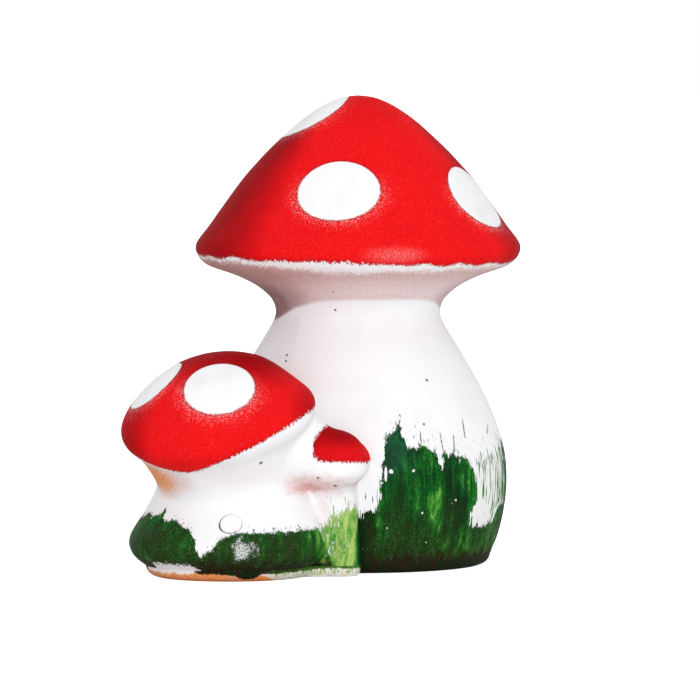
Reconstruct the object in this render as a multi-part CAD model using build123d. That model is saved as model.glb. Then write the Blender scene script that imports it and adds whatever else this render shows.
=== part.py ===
from build123d import *
from math import cos, sin, radians
import os

# Ceramic mushroom ornament: hollow clay castings luted together with slip.
# Sizes are in millimetres. The tall toadstool stands on Z, the ground is z = 0, and the front is -Y.

# Values shared by the castings
WALL = 5.0  # wall of a hollow casting
SLIP_BED = 0.3  # layer of slip between two luted castings
SPIGOT_LAP = 2.5  # wall of a spigot at a neck joint
SPIGOT_RISE = 5.0  # how far a hollow stem's spigot stands into its cap

# Drawing settings
BASE = (Align.CENTER, Align.CENTER, Align.MIN)  # cylinders stand on their foot
EVEN = (1, 1)  # end tangents of a profile keep unit length

# Bare clay slab under the feet
SLAB_THICKNESS = 4.0
SLAB_EDGE_ROUND = 2.4
SLAB_CORNER_ROUND = 5.0  # inside corners where two feet meet

# Tall toadstool, stem (each level is a share of the stem's height above its foot)
LARGE_STEM_HEIGHT = 87.2
LARGE_FOOT_RADIUS = 48.2
LARGE_FOOT_FLARE = 30.0  # degrees that the wall leans out at the foot
LARGE_HEEL_RADIUS = 51.4
LARGE_HEEL_SHARE = 0.094
LARGE_BELLY_RADIUS = 53.5
LARGE_BELLY_SHARE = 0.398
LARGE_WAIST_RADIUS = 43.4
LARGE_WAIST_SHARE = 0.712
LARGE_SHOULDER_RADIUS = 32.9
LARGE_SHOULDER_SHARE = 0.914
LARGE_NECK_RADIUS = 29.8

# Tall toadstool, cap (from the neck joint; dome and crown are shares of the height above the rim)
LARGE_CAP_HEIGHT = 78.5
LARGE_RIM_RADIUS = 59.0
LARGE_RIM_RISE = 22.9
LARGE_LIP_ROUND = 6.0
LARGE_THROAT_RADIUS = 36.4  # where the underside turns out of the neck
LARGE_THROAT_RISE = 9.3
LARGE_UNDER_SLOPE = 24.0
LARGE_FLANK_SLOPE = 50.0
LARGE_DOME_RADIUS = 45.1
LARGE_DOME_SHARE = 0.378
LARGE_CROWN_RADIUS = 24.9
LARGE_CROWN_SHARE = 0.772

# Front toadstool, placed on a ray from the tall one's axis (levels are shares of the stem's height)
FRONT_BEARING = 229.0  # degrees from +X
FRONT_TILT = 21.0  # lean of its neck joint and cap
FRONT_TILT_BEARING = 240.0  # degrees from +X
FRONT_STANDOFF = 16.0  # from the tall stem's belly to the front stem's axis
FRONT_STEM_HEIGHT = 32.7
FRONT_FOOT_RADIUS = 30.4
FRONT_FOOT_FLARE = 75.0  # degrees that the wall leans out at the foot
FRONT_BELLY_RADIUS = 36.2
FRONT_BELLY_SHARE = 0.19
FRONT_WAIST_RADIUS = 33.0
FRONT_WAIST_SHARE = 0.541
FRONT_NECK_RADIUS = 26.6
FRONT_NECK_TAPER = 10.0  # degrees that the wall leans in at the neck
FRONT_RINGS = 9  # sections through the leaning stem

# Front toadstool, cap
FRONT_CAP_HEIGHT = 43.4
FRONT_RIM_RADIUS = 35.6
FRONT_RIM_RISE = 21.6
FRONT_LIP_ROUND = 6.2
FRONT_THROAT_RADIUS = 28.6
FRONT_THROAT_RISE = 8.6
FRONT_UNDER_SLOPE = 42.0
FRONT_FLANK_SLOPE = 62.0
FRONT_DOME_RADIUS = 27.0
FRONT_DOME_SHARE = 0.537
FRONT_CROWN_RADIUS = 14.5
FRONT_CROWN_SHARE = 0.881

# Bud between the two
BUD_STANDOFF = 12.6  # sideways from the front neck's edge to the bud's foot centre
BUD_FORWARD = 1.05  # in front of the front stem's axis
BUD_STEM_HEIGHT = 27.2
BUD_FOOT_RADIUS = 7.9
BUD_LEAN_X = -3.0  # neck's shift from the foot
BUD_LEAN_Y = -4.0
BUD_NECK_RADIUS = 8.8
BUD_TILT = 14.0
BUD_TILT_BEARING = -90.0  # degrees from +X, towards the viewer
BUD_SPIGOT_RADIUS = 4.0
BUD_SPIGOT_RISE = 4.0

# Bud cap
BUD_CAP_HEIGHT = 22.0
BUD_RIM_RADIUS = 13.6
BUD_RIM_RISE = 9.0
BUD_LIP_ROUND = 5.5
BUD_THROAT_RADIUS = 9.2
BUD_THROAT_RISE = 2.0
BUD_UNDER_SLOPE = 20.0
BUD_FLANK_SLOPE = 62.0
BUD_DOME_RADIUS = 10.6
BUD_DOME_SHARE = 0.582
BUD_CROWN_RADIUS = 5.6
BUD_CROWN_SHARE = 0.891

# Clay plug in the front stem's wall
PLUG_RADIUS = 3.8
PLUG_GAP = 0.4  # open ring around the plug
PLUG_OFFSET = 0.4  # sideways from the front stem's axis
PLUG_DEPTH = 2.55  # its middle lies inside the waist's radius
PLUG_RISE = 16.7  # above the foot
PLUG_PITCH = 37.0  # upward lean of the plug's axis, square to the wall
PLUG_REACH = 9.0  # half length of the drilling tool

# Levels and places that follow from them
FOOT_LEVEL = SLAB_THICKNESS + SLIP_BED
LARGE_HEEL_LEVEL = FOOT_LEVEL + LARGE_HEEL_SHARE * LARGE_STEM_HEIGHT
LARGE_BELLY_LEVEL = FOOT_LEVEL + LARGE_BELLY_SHARE * LARGE_STEM_HEIGHT
LARGE_WAIST_LEVEL = FOOT_LEVEL + LARGE_WAIST_SHARE * LARGE_STEM_HEIGHT
LARGE_SHOULDER_LEVEL = FOOT_LEVEL + LARGE_SHOULDER_SHARE * LARGE_STEM_HEIGHT
LARGE_NECK_LEVEL = FOOT_LEVEL + LARGE_STEM_HEIGHT
FRONT_DISTANCE = LARGE_BELLY_RADIUS + FRONT_STANDOFF
FRONT_BELLY_LEVEL = FOOT_LEVEL + FRONT_BELLY_SHARE * FRONT_STEM_HEIGHT
FRONT_WAIST_LEVEL = FOOT_LEVEL + FRONT_WAIST_SHARE * FRONT_STEM_HEIGHT
FRONT_NECK_LEVEL = FOOT_LEVEL + FRONT_STEM_HEIGHT


def cap_section(neck, throat, rim, rise, lip, under, flank, dome, dome_share, crown, crown_share, top):
    """Half section of a cap: neck, underside, rolled lip, flank and crown."""
    dome_level = rise + dome_share * (top - rise)
    crown_level = rise + crown_share * (top - rise)
    centre = Vector(rim - lip, rise)
    low = centre + Vector(sin(radians(under)), -cos(radians(under))) * lip
    high = centre + Vector(sin(radians(flank)), cos(radians(flank))) * lip
    edge = centre + Vector(lip, 0)
    under_way = (cos(radians(under)), sin(radians(under)))
    flank_way = (-cos(radians(flank)), sin(radians(flank)))
    underside = Spline((neck, 0), throat, low, tangents=[(0, 1), under_way], tangent_scalars=EVEN)
    roll = ThreePointArc(low, edge, high)
    upper = [high, (dome, dome_level), (crown, crown_level), (0, top)]
    flank_line = Spline(*upper, tangents=[flank_way, (-1, 0)], tangent_scalars=EVEN)
    closing = Polyline((0, top), (0, 0), (neck, 0))
    return Plane.XZ * make_face([underside, roll, flank_line, closing])


def hollow_cap(outer, neck):
    """Shell of a cap with a half-lap socket for the stem's spigot."""
    core = offset(outer, amount=-WALL)
    mouth = Cylinder(neck - WALL, WALL + SPIGOT_RISE, align=BASE)
    socket = Cylinder(neck - WALL + SPIGOT_LAP + SLIP_BED, SPIGOT_RISE + SLIP_BED, align=BASE)
    bed = Cylinder(2 * neck, SLIP_BED, align=BASE)
    return outer - core - mouth - socket - bed


def spigot(neck):
    """Ring that stands on a hollow stem's neck."""
    ring = Cylinder(neck - WALL + SPIGOT_LAP, SPIGOT_RISE, align=BASE)
    return ring - Cylinder(neck - WALL, SPIGOT_RISE, align=BASE)


def trimmed(shape, *neighbours):
    """The part of a casting that lies outside its neighbours."""
    for neighbour in neighbours:
        shape = shape - neighbour
    return shape.solids().sort_by(SortBy.VOLUME)[-1]


def large_stem_body(extra):
    """Solid of the tall stem, with its radius changed by extra."""
    flare = (sin(radians(LARGE_FOOT_FLARE)), cos(radians(LARGE_FOOT_FLARE)))
    side = Spline(
        (LARGE_FOOT_RADIUS + extra, FOOT_LEVEL),
        (LARGE_HEEL_RADIUS + extra, LARGE_HEEL_LEVEL),
        (LARGE_BELLY_RADIUS + extra, LARGE_BELLY_LEVEL),
        (LARGE_WAIST_RADIUS + extra, LARGE_WAIST_LEVEL),
        (LARGE_SHOULDER_RADIUS + extra, LARGE_SHOULDER_LEVEL),
        (LARGE_NECK_RADIUS + extra, LARGE_NECK_LEVEL),
        tangents=[flare, (0, 1)],
        tangent_scalars=EVEN,
    )
    closing = Polyline(side @ 1, (0, LARGE_NECK_LEVEL), (0, FOOT_LEVEL), side @ 0)
    return revolve(Plane.XZ * make_face([side, closing]), Axis.Z)


def on_front_ray(height, tilt):
    """Plane over the front toadstool's foot, tipped by tilt degrees."""
    foot = Plane.XY * Rotation(0, 0, FRONT_BEARING) * Pos(FRONT_DISTANCE, 0, height)
    return foot * Rotation(0, 0, FRONT_TILT_BEARING - FRONT_BEARING) * Rotation(0, tilt, 0)


def front_stem_body(extra):
    """Solid of the front stem, with its radius changed by extra."""
    flare = (sin(radians(FRONT_FOOT_FLARE)), cos(radians(FRONT_FOOT_FLARE)))
    taper = (-sin(radians(FRONT_NECK_TAPER)), cos(radians(FRONT_NECK_TAPER)))
    side = Spline(
        (FRONT_FOOT_RADIUS, FOOT_LEVEL),
        (FRONT_BELLY_RADIUS, FRONT_BELLY_LEVEL),
        (FRONT_WAIST_RADIUS, FRONT_WAIST_LEVEL),
        (FRONT_NECK_RADIUS, FRONT_NECK_LEVEL),
        tangents=[flare, taper],
        tangent_scalars=EVEN,
    )
    rings = []
    for step in range(FRONT_RINGS):
        point = side @ (step / (FRONT_RINGS - 1))
        lean = max(0, point.Y - FRONT_BELLY_LEVEL) / (FRONT_NECK_LEVEL - FRONT_BELLY_LEVEL)
        rings.append(on_front_ray(point.Y, FRONT_TILT * lean) * Circle(point.X + extra))
    return loft(rings)


FRONT_FOOT = on_front_ray(0, 0)
FRONT_NECK = on_front_ray(FRONT_NECK_LEVEL, FRONT_TILT)
BUD_PLACE = FRONT_FOOT.position + Vector(FRONT_NECK_RADIUS + BUD_STANDOFF, -BUD_FORWARD)
BUD_FOOT = Pos(BUD_PLACE) * Pos(0, 0, FOOT_LEVEL)
BUD_NECK = (
    BUD_FOOT
    * Pos(BUD_LEAN_X, BUD_LEAN_Y, BUD_STEM_HEIGHT)
    * Rotation(0, 0, BUD_TILT_BEARING)
    * Rotation(0, BUD_TILT, 0)
)

# Tall toadstool
large_body = large_stem_body(0)
large_grown = large_stem_body(SLIP_BED)
large_stem = large_body - large_stem_body(-WALL) + Pos(0, 0, LARGE_NECK_LEVEL) * spigot(LARGE_NECK_RADIUS)

large_cap_outer = revolve(
    cap_section(
        LARGE_NECK_RADIUS, (LARGE_THROAT_RADIUS, LARGE_THROAT_RISE),
        LARGE_RIM_RADIUS, LARGE_RIM_RISE, LARGE_LIP_ROUND,
        LARGE_UNDER_SLOPE, LARGE_FLANK_SLOPE,
        LARGE_DOME_RADIUS, LARGE_DOME_SHARE, LARGE_CROWN_RADIUS, LARGE_CROWN_SHARE, LARGE_CAP_HEIGHT,
    ),
    Axis.Z,
)
large_cap = Pos(0, 0, LARGE_NECK_LEVEL) * hollow_cap(large_cap_outer, LARGE_NECK_RADIUS)

# Front toadstool, its back trimmed to lie against the tall stem
front_body = front_stem_body(0)
front_stem = front_body - front_stem_body(-WALL) + FRONT_NECK * spigot(FRONT_NECK_RADIUS)
front_stem = trimmed(front_stem, large_grown)

front_cap_outer = revolve(
    cap_section(
        FRONT_NECK_RADIUS, (FRONT_THROAT_RADIUS, FRONT_THROAT_RISE),
        FRONT_RIM_RADIUS, FRONT_RIM_RISE, FRONT_LIP_ROUND,
        FRONT_UNDER_SLOPE, FRONT_FLANK_SLOPE,
        FRONT_DOME_RADIUS, FRONT_DOME_SHARE, FRONT_CROWN_RADIUS, FRONT_CROWN_SHARE, FRONT_CAP_HEIGHT,
    ),
    Axis.Z,
)
front_cap = trimmed(FRONT_NECK * hollow_cap(front_cap_outer, FRONT_NECK_RADIUS), large_grown)
front_cap_grown = FRONT_NECK * offset(front_cap_outer, amount=SLIP_BED)

front_grown = front_stem_body(SLIP_BED)

# Round plug, flush with the front stem's wall inside and out
plug_shift = Vector(PLUG_OFFSET, PLUG_DEPTH - FRONT_WAIST_RADIUS, FOOT_LEVEL + PLUG_RISE)
plug_axis = Pos(FRONT_FOOT.position + plug_shift) * Rotation(90 - PLUG_PITCH, 0, 0)
front_wall = front_body - front_stem_body(-WALL)
vent_plug = front_wall & plug_axis * Cylinder(PLUG_RADIUS, 2 * PLUG_REACH)
front_stem = front_stem - plug_axis * Cylinder(PLUG_RADIUS + PLUG_GAP, 2 * PLUG_REACH)

# Bud, trimmed to lie against both toadstools
bud_body = loft([BUD_FOOT * Circle(BUD_FOOT_RADIUS), BUD_NECK * Circle(BUD_NECK_RADIUS)])
bud_spigot = BUD_NECK * Cylinder(BUD_SPIGOT_RADIUS, BUD_SPIGOT_RISE, align=BASE)
bud_stem = trimmed(bud_body + bud_spigot, large_grown, front_grown, front_cap_grown)

bud_cap_outer = revolve(
    cap_section(
        BUD_NECK_RADIUS, (BUD_THROAT_RADIUS, BUD_THROAT_RISE),
        BUD_RIM_RADIUS, BUD_RIM_RISE, BUD_LIP_ROUND,
        BUD_UNDER_SLOPE, BUD_FLANK_SLOPE,
        BUD_DOME_RADIUS, BUD_DOME_SHARE, BUD_CROWN_RADIUS, BUD_CROWN_SHARE, BUD_CAP_HEIGHT,
    ),
    Axis.Z,
)
bud_socket = Cylinder(BUD_SPIGOT_RADIUS + SLIP_BED, BUD_SPIGOT_RISE + SLIP_BED, align=BASE)
bud_bed = Cylinder(2 * BUD_NECK_RADIUS, SLIP_BED, align=BASE)
bud_cap = BUD_NECK * (bud_cap_outer - bud_socket - bud_bed)
bud_cap = trimmed(bud_cap, large_grown, front_grown, front_cap_grown)

# Slab cut to the outline of the three feet, which it joins under the bud
outline = Circle(LARGE_FOOT_RADIUS) + FRONT_FOOT * Circle(FRONT_FOOT_RADIUS)
outline = outline + Pos(BUD_PLACE) * Circle(BUD_FOOT_RADIUS) + trace(Line((0, 0), BUD_PLACE), BUD_FOOT_RADIUS)
outline = offset(offset(outline, SLAB_CORNER_ROUND), -SLAB_CORNER_ROUND)
base_slab = extrude(outline, SLAB_THICKNESS)
base_slab = fillet(base_slab.edges().group_by(Axis.Z)[0], SLAB_EDGE_ROUND)

pieces = {
    "large_stem": large_stem,
    "large_cap": large_cap,
    "front_stem": front_stem,
    "front_cap": front_cap,
    "bud_stem": bud_stem,
    "bud_cap": bud_cap,
    "vent_plug": vent_plug,
    "base_slab": base_slab,
}
os.makedirs("parts", exist_ok=True)
for name, shape in pieces.items():
    export_step(shape, f"parts/{name}.step")
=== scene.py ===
"""Painted ceramic toadstool group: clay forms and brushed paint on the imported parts."""

import collections
import functools
import math

import bpy
from bpy.props import FloatProperty, FloatVectorProperty, IntProperty, PointerProperty
from mathutils import Matrix, Vector
from mathutils.bvhtree import BVHTree


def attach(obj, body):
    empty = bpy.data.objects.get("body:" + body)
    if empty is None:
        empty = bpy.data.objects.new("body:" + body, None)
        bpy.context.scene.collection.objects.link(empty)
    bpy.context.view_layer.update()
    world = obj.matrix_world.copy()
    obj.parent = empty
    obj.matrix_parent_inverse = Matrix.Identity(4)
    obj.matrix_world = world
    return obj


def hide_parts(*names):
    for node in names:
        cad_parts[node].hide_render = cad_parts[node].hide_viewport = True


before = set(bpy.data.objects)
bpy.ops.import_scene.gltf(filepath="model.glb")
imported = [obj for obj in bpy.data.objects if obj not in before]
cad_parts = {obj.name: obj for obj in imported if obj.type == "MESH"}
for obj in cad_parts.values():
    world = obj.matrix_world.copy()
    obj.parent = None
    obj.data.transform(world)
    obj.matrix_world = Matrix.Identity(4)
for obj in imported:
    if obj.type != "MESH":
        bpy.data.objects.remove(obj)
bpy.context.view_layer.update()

bl_info = {
    "name": "Painted toadstool group",
    "version": (1, 0, 0),
    "blender": (4, 5, 0),
    "location": "3D View > Sidebar > Toadstools",
    "description": "Models the clay forms of a toadstool ornament and paints them",
    "category": "Add Mesh",
}

MM = 0.001

# Half sections for the turning template, in millimetres: radius, height
LARGE_STEM = [
    (0, 4.0), (48.2, 4.0), (49.0, 6.2), (50.5, 9.7), (52.1, 15.3), (53.2, 21.0), (53.9, 26.9),
    (54.0, 32.7), (53.6, 38.5), (52.5, 44.3), (50.8, 49.9), (48.7, 55.4), (46.3, 60.7), (43.7, 65.9),
    (40.8, 71.0), (37.9, 76.1), (34.8, 81.1), (31.9, 86.0), (30.2, 89.4), (29.8, 91.5),
]
LARGE_CAP = [
    (29.8, 91.5), (30.1, 93.6), (31.3, 96.2), (33.5, 98.5), (36.7, 101.0), (40.3, 103.0), (44.0, 104.7),
    (47.8, 106.1), (51.7, 107.4), (55.0, 108.8), (57.4, 110.9), (58.7, 113.3), (58.9, 115.6),
    (57.6, 118.2), (54.1, 122.7), (50.8, 127.4), (47.5, 132.0), (44.2, 136.6), (40.7, 141.1),
    (36.9, 145.4), (33.0, 149.6), (29.0, 153.5), (24.8, 157.4), (20.5, 161.1), (15.9, 164.4),
    (10.9, 167.3), (5.6, 169.3), (0, 170.0),
]
FRONT_STEM = [
    (29.4, 2.4), (30.4, 4.0), (33.1, 5.8), (35.2, 8.1), (36.3, 11.0), (36.3, 14.1), (35.5, 17.1),
    (34.1, 19.9), (32.6, 22.7), (31.1, 25.4), (29.7, 28.2), (28.4, 31.0), (27.3, 34.0), (26.6, 37.0),
]
FRONT_CAP = [
    (0, -6), (24.5, -6), (26.0, -4), (26.6, 0), (26.9, 3.1), (27.7, 6.1), (28.8, 9.0), (30.0, 11.9),
    (31.5, 14.6), (33.5, 17.0), (35.0, 19.4), (35.6, 21.9), (34.9, 24.5), (32.6, 27.9), (29.7, 30.9),
    (26.6, 33.6), (23.3, 36.1), (19.8, 38.3), (16.1, 40.2), (12.2, 41.6), (8.2, 42.6), (4.1, 43.2),
    (0, 43.4),
]
BUD_CAP = [
    (0, -3), (7.6, -3), (8.8, 0), (9.0, 1.0), (9.2, 2.0), (9.7, 3.2), (11.4, 4.7), (13.0, 6.9),
    (13.6, 9.2), (13.0, 11.6), (12.0, 13.6), (11.1, 15.6), (9.9, 17.5), (8.3, 19.0), (6.4, 20.2),
    (4.3, 21.1), (2.2, 21.8), (0, 22.0),
]
# Foot of the tall core under the skin
FOOT_START = 2.4

# Front toadstool: bearing and distance of its foot, height of its neck, lean of its cap and where it starts
FRONT_BEARING = math.radians(229)
FRONT_REACH = 69.5
FRONT_NECK = 37.0
FRONT_LEAN = math.radians(21)
FRONT_LEAN_TURN = math.radians(11)
FRONT_LEAN_FROM = 10.5
# Bud: foot, neck, rings of its stem as shares of the way between them, and lean of its cap
BUD_FOOT = (-6.4, -53.5, 4.3)
BUD_FOOT_RADIUS = 7.9
BUD_NECK = (-9.4, -57.5, 31.5)
BUD_NECK_RADIUS = 8.8
BUD_SHARES = (-0.07, 0.2, 0.4, 0.6, 0.8, 1, 1.15)
BUD_LEAN = math.radians(14)
BUD_LEAN_BEARING = math.radians(-90)
# Clay plug: place on the wall, pitch, shift in its hole and length
PLUG = (-45.2, -82.9, 21.0)
PLUG_PITCH = math.radians(37)
PLUG_SHIFT = (0.26, 0.18, 0)
PLUG_DEPTH = 10.0

# Slip between the front cap and the bud: centre, radii and lean of each lump
WEBS = [
    ((-22.5, -61.6, 45.2), (18.5, 12.0, 12.0), math.radians(14)),
    ((-19.3, -62.5, 55.4), (5.2, 6.0, 5.4), 0.0),
    ((-14.2, -60.8, 51.9), (5.0, 5.5, 4.0), 0.0),
]
# The sponge stays off the front cap's lip: height on the cap's axis, and the stretch over which it stops
LIP_FROM = 13.0
LIP_OVER = 5.0
# Flatter shoulder at the front cap's right: place seen from the front, reach and depth
SHOULDER = (-21.4, 70.8)
SHOULDER_REACH = 18.0
SHOULDER_DEPTH = 2.0
# Parting planes between the front toadstool and the bud: a point and the way to the bud's side
BUD_SIDE_CUT = ((-16.3, -60, 50), (0.919, 0, -0.395))
BUD_FOOT_CUT = ((-18.9, -60, 32.4), (0.943, 0, 0.332))
# Cutter for the tall stem: its room in the skin, lower and upper end
STEM_ROOM = 0.2
CUTTER_LOW = -20
CUTTER_HIGH = 200
# Trimming after the cuts: what is too small to keep, rounds, and the fewest faces of a sound piece
SLIVER = 0.004
TRIM_ROUNDS = 3
FEWEST_FACES = 50
# Share of the way to its neighbours that a point moves in one pass of the sponge
SPONGE_PRESS = 0.5

# Slab: top, lower edge as steps in from a foot's edge and their heights, place and radius of a corner fill
SLAB_TOP = 4.0
SLAB_EDGE = [(6.0, -1.5), (3.7, 0), (1.9, 0.7), (0.7, 1.8), (0.2, 3.0), (0, SLAB_TOP), (0, 5.5)]
SLAB_CORNER = ((-15.5, -54.0, 0), 8.0)
# Slab: middle for its paint, grain against the skin's, and the smaller edge of the feet below a radius
SLAB_CENTRE = (-22, -26)
SLAB_GRAIN = 1.3
SMALL_FOOT = 20.0
SMALL_EDGE = 0.5

# Stage: width of the floor and reach of the camera in metres, and its sensor in millimetres
FLOOR_WIDTH = 12
CAMERA_REACH = 100
SENSOR_WIDTH = 36

# Finish of the paints: depth of the relief in metres, and gloss
RELIEF = 0.00022
CLAY_RELIEF = 0.00025
STEM_GLOSS = 0.015
CAP_GLOSS = 0.01
CLAY_GLOSS = 0.05

# Paint marks, in millimetres: place and reach or radius
LARGE_SPOTS = [
    (-7.2, -43.1, 137.3, 15.0), (43.2, -17.3, 134.2, 15.6), (-16.5, -0.2, 163.4, 15.4),
    (19.0, 37.5, 137.5, 14.6), (-37.5, 22.5, 135.5, 14.2),
]
LARGE_SPOT_STRETCH = (1, 1, 1.25)
FRONT_SPOTS = [(-49.1, -79.0, 68.4, 12.5), (-73.3, -60.0, 70.0, 12.0)]
PINHOLES = [
    (-25.6, -27.0, 77.3, 0.55), (-25.9, -28.3, 75.2, 0.5), (-8.1, -28.7, 93.7, 0.6),
    (-9.0, -34.7, 100.4, 0.42), (24.7, -34.1, 68.7, 0.6), (23.6, -43.5, 53.5, 0.5),
    (-34.3, -82.7, 42.4, 0.8), (-14.3, -71.2, 36.2, 0.5), (-8.2, -69.4, 33.3, 0.7),
]
# Spacing of the pinholes that are strewn by chance
PINHOLE_CELL = 17.0

# Borders of the sprayed red: the tall cap's height, fall to the right and white band below it,
# then the bud's height, left end, and the corner between them with the way into the red
LARGE_BORDER = 111.5
LARGE_BORDER_FALL = 0.022
LARGE_BAND = 3.3
BUD_BORDER = 41.9
BUD_END = -16.0
BUD_CORNER = (-15.1, 49.4)
BUD_CORNER_WAY = (0.57, -0.82)
BUD_CORNER_REACH = 1.75
BUD_ROUND = 5.0
# Casting seam at the tall stem's left: a place on it and its run; left of it the white is greyed as painted
# shade
SEAM_X = -20.1
SEAM_Z = 93.0
SEAM_RUN = 0.161

# Patches of paint: place, stretch of the axes, reach in millimetres and strength
EVEN = (1, 1, 1)
BARE_CLAY = [((-70, -67, 37.0), (0.75, 0.75, 1.15), 12.0, 1.25)]
# Partly painted shade: the pink in the creases under the bud, in the valley beside its stem and under the
# front cap
THIN_COAT_AND_SHADE = [
    ((-46, -84, 38), (0.33, 0.4, 1.1), 8.5, 0.2),
    ((-15.5, -67, 33.8), (0.38, 0.5, 1.05), 7.0, 0.85), ((-17.0, -65.5, 32.4), (0.40, 0.5, 1.7), 5.0, 1.4),
    ((-12.5, -61.5, 22), (0.8, 0.4, 0.45), 4.5, 0.28),
    ((-2, -63, 33.2), (0.5, 0.4, 1.2), 4, 0.5), ((-63, -78, 36.5), EVEN, 9, 0.5),
]
# Pale patch on the tall cap's lip: painted sheen, partly pale overspray dust
LIP_DUST_AND_SHEEN = [((13.5, -57, 114.6), (0.3, 0.5, 1.15), 4.8, 1.0)]

# Heights or shares in a hundred round an axis: bearing in turns, 0.5 at the front and rising to the right,
# then the value
NECK_LINE = [
    (0, 92), (0.25, 88.0), (0.30, 89.6), (0.33, 91.6), (0.36, 93.6), (0.40, 95.7), (0.44, 97.0), (0.5, 97.6),
    (0.62, 97.4), (0.68, 95.4), (0.72, 93.2), (0.80, 91.5), (1, 92),
]
# Share of painted shade under the tall cap by bearing, darkest towards the left
UNDER_CAP_SHADE = [
    (0, 25), (0.25, 84), (0.33, 80), (0.37, 50), (0.43, 12), (0.5, 0), (0.64, 6), (0.70, 36),
    (0.74, 40), (1, 25),
]
FRONT_BORDER = [
    (0, 18), (0.30, 19), (0.34, 19.2), (0.3675, 16.6), (0.4, 14.7), (0.436, 13.6), (0.47, 16.6),
    (0.50, 19.4), (0.53, 21.3), (0.57, 23.1), (0.62, 23.6), (0.68, 21.4), (0.8, 19), (1, 18),
]
SLAB_CREAM = [
    (0, 5), (0.33, 5), (0.355, 2.9), (0.40, 3.1), (0.412, 5), (0.458, 5), (0.466, 2.6), (0.48, 0), (0.61, 0),
    (0.625, 5), (1, 5),
]
SLAB_DARK = [
    (0, 2), (0.33, 2.5), (0.345, 5), (0.404, 5), (0.411, 3.3), (0.44, 3.2), (0.447, 1.5), (0.458, 1.7),
    (0.463, 3.2), (0.51, 3.3), (0.55, 3.7), (0.60, 3.7), (0.61, 0), (0.8, 0), (0.9, 1.5), (1, 2),
]
SLAB_SUN = [(0, 10), (0.46, 0), (0.48, 30), (0.52, 70), (0.595, 100), (0.61, 0), (1, 10)]

# Brushed grass: tops, feet, dry, dry_from and sun are read round an axis, as above; gaps, slits, bright,
# cool, dim and glints are patches, and the dim patches in the creases beside the bud are painted shade;
# flecks are dots of bare white; hairs are strokes from (x, z) to (x, z)
PLAIN_GRASS = {
    "feet": [(0, 0), (1, 0)], "dry_from": [(0, 11), (1, 11)], "bristle": 1.0, "deep": 1.0,
    "gaps": [], "bright": [], "cool": [], "dim": [], "slits": [], "flecks": [], "glints": [], "hairs": [],
}
LARGE_GRASS = PLAIN_GRASS | {
    "tops": [
        (0, 36), (0.12, 29), (0.25, 33), (0.40, 25), (0.50, 22), (0.520, 22.5), (0.5235, 27), (0.5285, 46),
        (0.5320, 50.5), (0.5420, 51), (0.5455, 56), (0.5475, 56), (0.5500, 50), (0.5545, 46.5), (0.5740, 46),
        (0.5800, 44), (0.5915, 43), (0.5930, 36.5), (0.5945, 36.5), (0.5962, 43), (0.6317, 41),
        (0.6335, 37.2), (0.6403, 36), (0.6445, 32), (0.6480, 42), (0.70, 44), (0.76, 46),
        (0.84, 38), (0.92, 31), (1, 36),
    ],
    "dry": [
        (0, 18), (0.3, 30), (0.46, 8), (0.5, 0), (0.62, 4), (0.638, 10), (0.648, 88), (0.685, 93),
        (0.70, 84), (0.715, 62), (0.73, 36), (0.77, 24), (0.84, 34), (1, 18),
    ],
    "dry_from": [(0, 12), (0.685, 12), (0.70, 18), (0.75, 19), (0.8, 12), (1, 12)],
    "sun": [(0, 8), (0.3, 10), (0.5, 0), (0.55, 3), (0.6, 3), (0.65, 8), (0.70, 6), (0.8, 2), (1, 8)],
    "gaps": [((44, -31, 20), EVEN, 6.5, 1.5)],
    "slits": [
        ((9.9, -52.9, 36.2), (1.7, 1, 0.32), 1.3, 2.0), ((32.8, -42.9, 43), (1.9, 1, 0.32), 1.3, 2.0),
        ((36.6, -39.7, 42), (1.9, 1, 0.28), 1.3, 2.0),
    ],
    "bright": [
        ((27.5, -46, 25), (1.2, 1, 0.7), 6.5, 0.2), ((28.8, -45, 28), (1.4, 1, 0.4), 3, 0.22),
        ((29.0, -45, 19), (1.4, 1, 0.6), 4.5, 0.2), ((33, -42, 9), EVEN, 5, 0.16),
        ((15.5, -51, 38), (1, 1, 0.6), 5.5, 0.12),
    ],
    "cool": [((13, -51, 46), (1, 1, 0.7), 10, 0.6)],
    "dim": [
        ((2.5, -53, 12), (1, 0.5, 0.22), 5, 0.4), ((37, -39, 20), (1, 1, 0.35), 6, 0.16),
        ((11.5, -52, 41), (1, 1, 1.4), 4.5, 0.14),
    ],
    "flecks": [
        (11.8, -52.4, 37.1, 0.9), (19.7, -49.9, 37.2, 0.65), (10.4, -51.5, 16.8, 0.33),
        (23.0, -48.0, 22, 0.3), (23.6, -47.5, 19, 0.33), (24.5, -44.9, 11, 0.36), (35.0, -41.0, 26, 0.3),
        (33.6, -41.9, 25, 0.3),
    ],
    "hairs": [
        (22.6, 44, 22.2, 51.5), (31.0, 41, 29.2, 51), (38.4, 48, 37.4, 55), (46.6, 48.5, 46.8, 52),
        (14.2, 51, 15.1, 56), (34.5, 43, 34.2, 50),
    ],
}
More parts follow.
